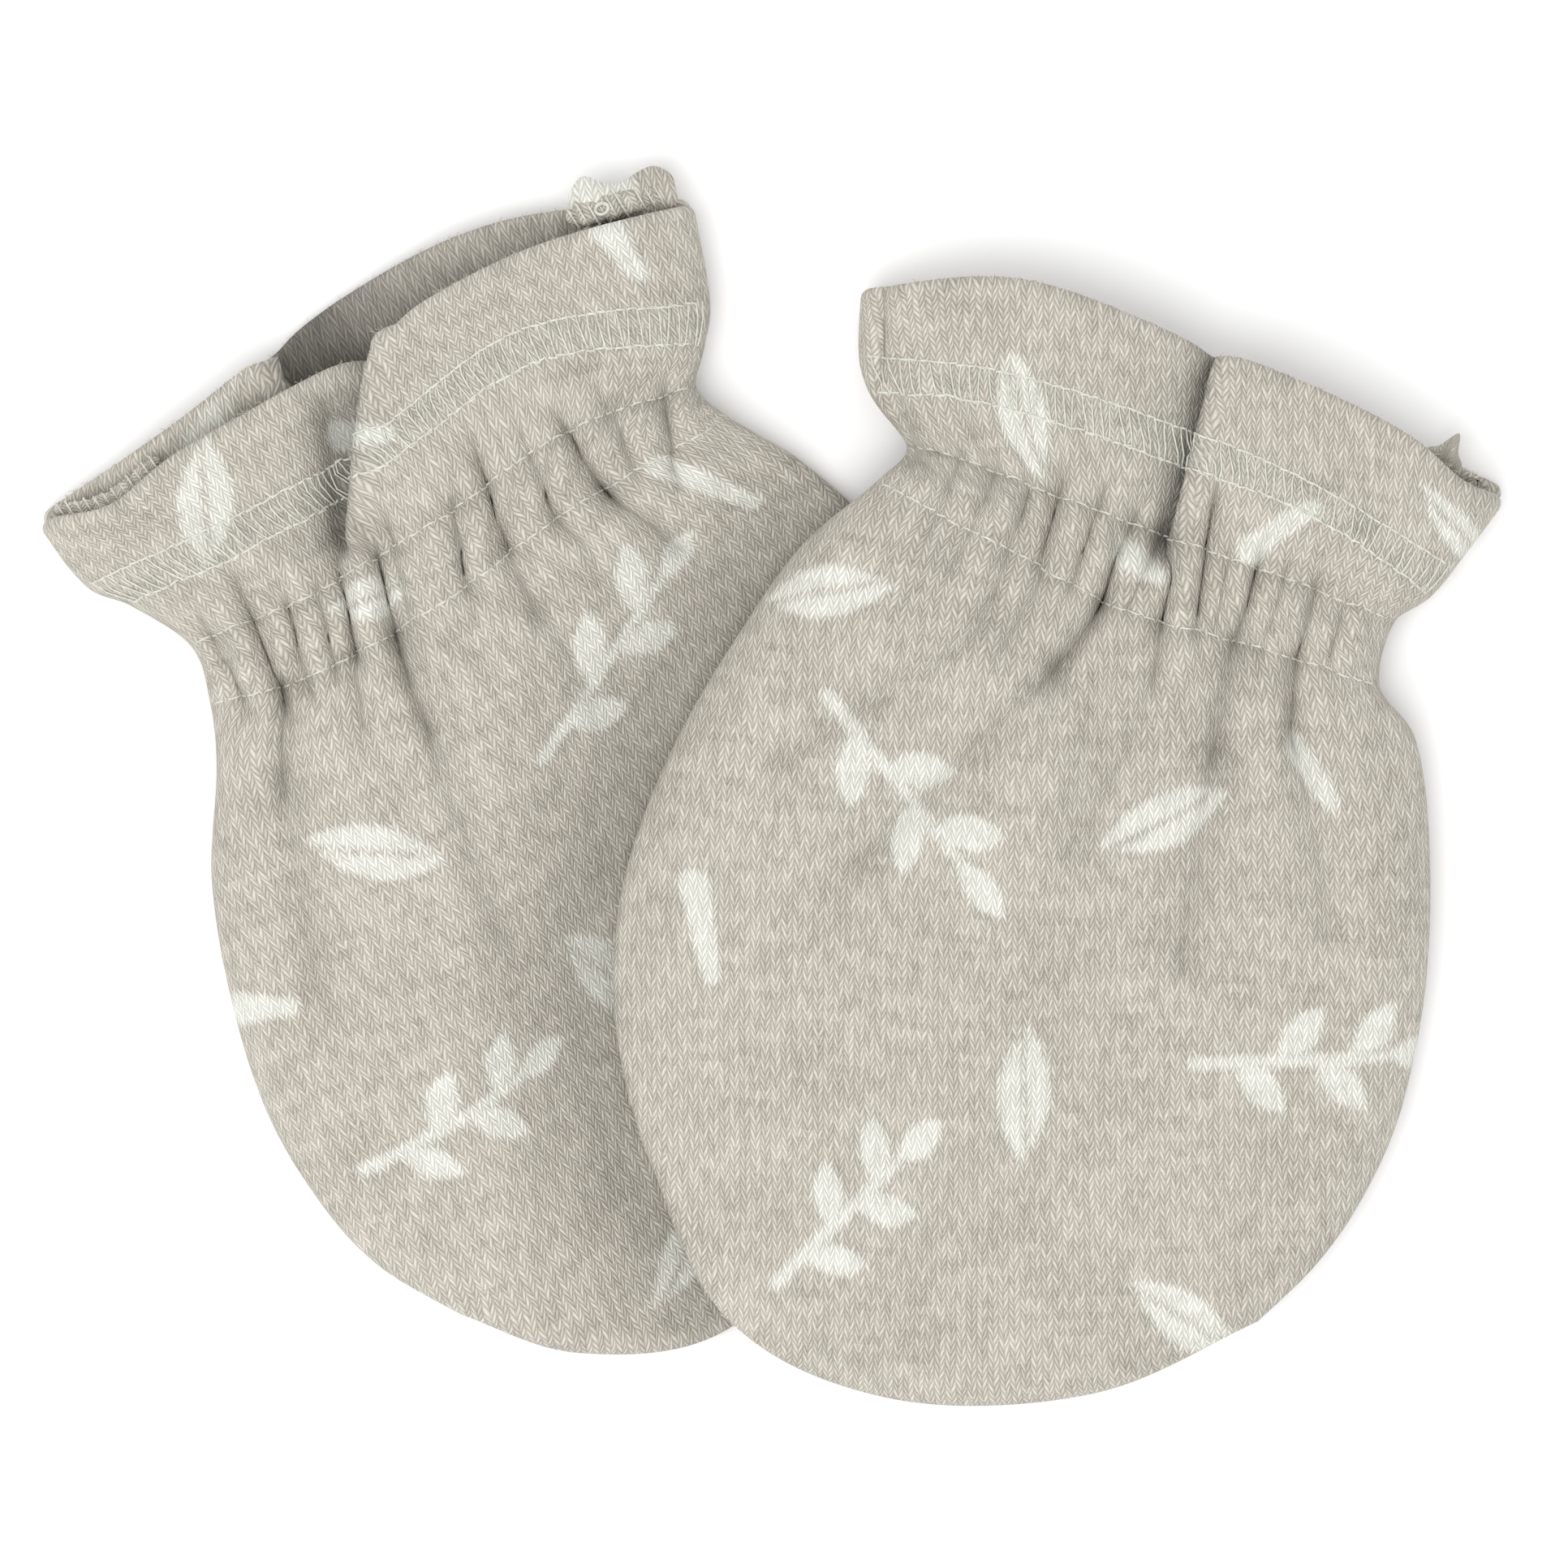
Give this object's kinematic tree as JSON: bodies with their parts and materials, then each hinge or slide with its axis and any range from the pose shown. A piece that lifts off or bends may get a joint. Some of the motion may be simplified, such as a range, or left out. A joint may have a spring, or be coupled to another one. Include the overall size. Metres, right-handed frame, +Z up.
{
  "type": "pair of baby mittens",
  "caption": "Pair of gathered newborn mittens in soft knit with open hemmed frills, laid flat, the right one lying partly on the left one.",
  "frame": {"origin": "centre of the pair's box, on the surface that it lies on", "axes": "+Z up from the surface, +Y towards the mittens' mouths, +X from the left mitten to the right one"},
  "size_m": [0.1377, 0.1164, 0.0139],
  "materials": {
    "knit_cloth": "heathered cotton interlock knit with a cream print, matt and soft",
    "sewing_thread": "fine matt polyester sewing thread"
  },
  "bodies": {
    "root": {"left_front": "knit_cloth", "left_back": "knit_cloth", "left_seam_end": "knit_cloth", "right_front": "knit_cloth", "right_back": "knit_cloth", "right_seam_end": "knit_cloth"}
  },
  "joints": []
}
